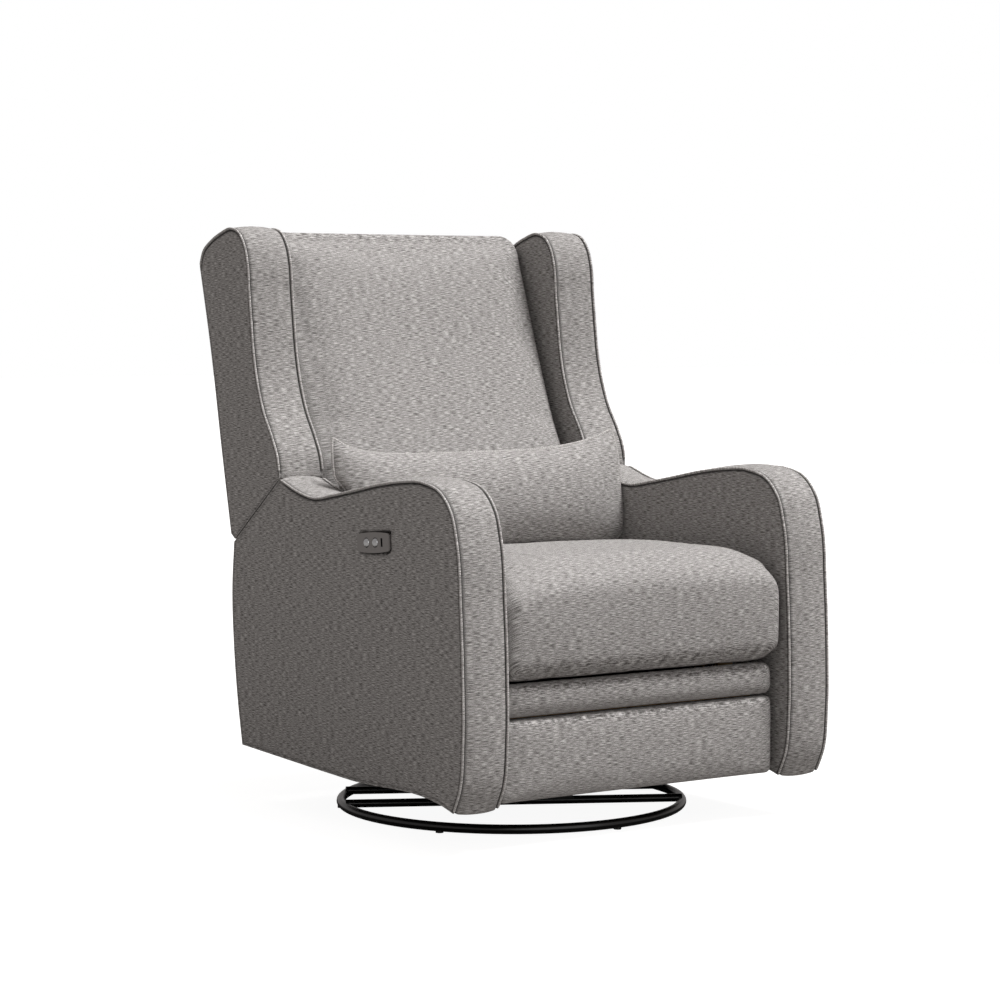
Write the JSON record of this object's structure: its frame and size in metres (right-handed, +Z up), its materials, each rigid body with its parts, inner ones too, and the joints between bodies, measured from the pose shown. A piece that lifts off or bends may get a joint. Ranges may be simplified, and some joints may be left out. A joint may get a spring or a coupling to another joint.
{
  "type": "reclining glider chair",
  "caption": "Upholstered wing-back nursery glider on a swivel ring base, with a powered recline, a fold-out footrest and a loose lumbar pillow.",
  "frame": {"origin": "on the floor, under the middle of the chair's outer box at rest", "axes": "+Z up, the sitter faces -Y, +X is the sitter's left"},
  "size_m": [0.8005, 0.8995, 1.068],
  "materials": {
    "upholstery": "woven, matt",
    "wood": "sawn plywood and pine",
    "black_steel": "satin powder coat",
    "zinc_steel": "zinc plated",
    "chrome": "polished",
    "black_plastic": "moulded satin",
    "grey_plastic": "moulded satin",
    "aluminium": "extruded",
    "spring_steel": "oiled spring wire"
  },
  "bodies": {
    "base": {"base_ring": "black_steel", "base_cross_tubes": "black_steel", "floor_glides": "black_plastic", "swivel_lower_plate": "black_steel", "bearing_lower_race": "zinc_steel", "bearing_balls": "chrome", "swivel_bolt": "zinc_steel"},
    "swivel_frame": {"bearing_upper_race": "zinc_steel", "swivel_upper_plate": "black_steel", "glider_crossbars": "black_steel", "glider_uprights": "black_steel"},
    "glide_link_front_left": {"glide_link_front_left": "black_steel"},
    "glide_link_front_right": {"glide_link_front_right": "black_steel"},
    "glide_link_rear_left": {"glide_link_rear_left": "black_steel"},
    "glide_link_rear_right": {"glide_link_rear_right": "black_steel"},
    "carriage": {"side_plate_left": "black_steel", "side_plate_right": "black_steel", "seat_frame": "wood", "seat_springs": "spring_steel", "seat_cushion": "upholstery", "arm_panels": "wood", "arm_cover_left": "upholstery", "arm_cover_right": "upholstery", "arm_bolts": "zinc_steel", "back_hinge_brackets": "black_steel", "rear_skirt_panel": "upholstery", "power_inlet": "black_plastic", "actuator_rail": "aluminium", "actuator_hanger": "zinc_steel", "actuator_motor": "black_plastic", "control_bezel": "grey_plastic", "usb_socket": "black_plastic"},
    "slider": {"actuator_slider": "black_plastic"},
    "recline_button": {"button_recline": "chrome"},
    "return_button": {"button_return": "chrome"},
    "footrest_drive": {"footrest_drive_tube": "black_steel", "drive_link_left": "black_steel", "drive_link_right": "black_steel"},
    "footrest": {"footrest_board": "wood", "footrest_brackets": "black_steel", "footrest_pad": "upholstery", "footrest_bar_pad": "upholstery"},
    "back": {"back_frame": "wood", "back_springs": "spring_steel", "back_cushion": "upholstery", "back_outer_panel": "upholstery", "wing_left": "upholstery", "wing_right": "upholstery", "wing_panels": "wood", "back_hinge_arms": "black_steel"},
    "pillow": {"lumbar_pillow": "upholstery"},
    "cross_link_left": {"cross_link_left": "black_steel"},
    "cross_link_right": {"cross_link_right": "black_steel"},
    "outer_link_left": {"outer_link_left": "black_steel"},
    "outer_link_right": {"outer_link_right": "black_steel"},
    "lift_link_left": {"lift_link_left": "black_steel"},
    "lift_link_right": {"lift_link_right": "black_steel"},
    "tilt_link_left": {"tilt_link_left": "black_steel"},
    "tilt_link_right": {"tilt_link_right": "black_steel"}
  },
  "joints": [
    {"name": "swivel", "type": "hinge", "parent": "base", "child": "swivel_frame", "pos_m": [0, -0.017, 0.036], "axis": [0, 0, 1], "continuous": true},
    {"name": "glide", "type": "hinge", "parent": "swivel_frame", "child": "glide_link_rear_left", "pos_m": [0, 0.093, 0.245], "axis": [1, 0, 0], "range_deg": [-15, 15]},
    {"name": "glide_front_left", "type": "hinge", "parent": "swivel_frame", "child": "glide_link_front_left", "pos_m": [0, -0.127, 0.245], "axis": [1, 0, 0], "range_deg": [-15.5, 15.5]},
    {"name": "glide_front_right", "type": "hinge", "parent": "swivel_frame", "child": "glide_link_front_right", "pos_m": [0, -0.127, 0.245], "axis": [1, 0, 0], "range_deg": [-15.5, 15.5]},
    {"name": "glide_rear_right", "type": "hinge", "parent": "swivel_frame", "child": "glide_link_rear_right", "pos_m": [0, 0.093, 0.245], "axis": [1, 0, 0], "range_deg": [-15.5, 15.5]},
    {"name": "carriage_level", "type": "hinge", "parent": "glide_link_rear_left", "child": "carriage", "pos_m": [0, 0.093, 0.125], "axis": [1, 0, 0], "range_deg": [-15.5, 15.5]},
    {"name": "recline", "type": "hinge", "parent": "carriage", "child": "footrest_drive", "pos_m": [0, -0.276, 0.261], "axis": [-1, 0, 0], "range_deg": [0, 76]},
    {"name": "cross_link_left", "type": "hinge", "parent": "footrest_drive", "child": "cross_link_left", "pos_m": [0, -0.29603, 0.18355], "axis": [1, 0, 0], "range_deg": [0, 153]},
    {"name": "outer_link_left", "type": "hinge", "parent": "cross_link_left", "child": "outer_link_left", "pos_m": [0, -0.29533, 0.26355], "axis": [-1, 0, 0], "range_deg": [0, 153]},
    {"name": "lift_link_left", "type": "hinge", "parent": "footrest_drive", "child": "lift_link_left", "pos_m": [0, -0.31606, 0.1061], "axis": [1, 0, 0], "range_deg": [0, 153]},
    {"name": "tilt_link_left", "type": "hinge", "parent": "outer_link_left", "child": "tilt_link_left", "pos_m": [0, -0.33539, 0.10864], "axis": [1, 0, 0], "range_deg": [0, 153]},
    {"name": "cross_link_right", "type": "hinge", "parent": "footrest_drive", "child": "cross_link_right", "pos_m": [0, -0.29603, 0.18355], "axis": [1, 0, 0], "range_deg": [0, 153]},
    {"name": "outer_link_right", "type": "hinge", "parent": "cross_link_right", "child": "outer_link_right", "pos_m": [0, -0.29533, 0.26355], "axis": [-1, 0, 0], "range_deg": [0, 153]},
    {"name": "lift_link_right", "type": "hinge", "parent": "footrest_drive", "child": "lift_link_right", "pos_m": [0, -0.31606, 0.1061], "axis": [1, 0, 0], "range_deg": [0, 153]},
    {"name": "tilt_link_right", "type": "hinge", "parent": "outer_link_right", "child": "tilt_link_right", "pos_m": [0, -0.33539, 0.10864], "axis": [1, 0, 0], "range_deg": [0, 153]},
    {"name": "footrest_tilt", "type": "hinge", "parent": "lift_link_left", "child": "footrest", "pos_m": [0, -0.31466, 0.26609], "axis": [-1, 0, 0], "range_deg": [0, 153]},
    {"name": "back_recline", "type": "hinge", "parent": "carriage", "child": "back", "pos_m": [0, 0.3, 0.335], "axis": [-1, 0, 0], "range_deg": [0, 35.5]},
    {"name": "actuator_stroke", "type": "slide", "parent": "carriage", "child": "slider", "axis": [0, -1, 0], "range_m": [0, 0.0755]},
    {"name": "recline_button_press", "type": "slide", "parent": "carriage", "child": "recline_button", "axis": [1, 0, 0], "range_m": [0, 0.002], "stiffness_N_per_m": 300, "springref_m": -0.001},
    {"name": "return_button_press", "type": "slide", "parent": "carriage", "child": "return_button", "axis": [1, 0, 0], "range_m": [0, 0.002], "stiffness_N_per_m": 300, "springref_m": -0.001},
    {"name": "pillow_lift", "type": "slide", "parent": "back", "child": "pillow", "axis": [0, 0.2079, 0.9781], "range_m": [0, 0.25]}
  ],
  "couplings": [
    {"joint": "glide_front_left", "follows": "glide", "ratio": 1},
    {"joint": "glide_front_right", "follows": "glide", "ratio": 1},
    {"joint": "glide_rear_right", "follows": "glide", "ratio": 1},
    {"joint": "carriage_level", "follows": "glide", "ratio": -1},
    {"joint": "cross_link_left", "follows": "recline", "ratio": 2},
    {"joint": "outer_link_left", "follows": "recline", "ratio": 2},
    {"joint": "lift_link_left", "follows": "recline", "ratio": 2},
    {"joint": "tilt_link_left", "follows": "recline", "ratio": 2},
    {"joint": "cross_link_right", "follows": "recline", "ratio": 2},
    {"joint": "outer_link_right", "follows": "recline", "ratio": 2},
    {"joint": "lift_link_right", "follows": "recline", "ratio": 2},
    {"joint": "tilt_link_right", "follows": "recline", "ratio": 2},
    {"joint": "footrest_tilt", "follows": "recline", "ratio": 2},
    {"joint": "back_recline", "follows": "recline", "ratio": 0.46053},
    {"joint": "actuator_stroke", "follows": "recline", "m_per_rad": 0.056544}
  ]
}
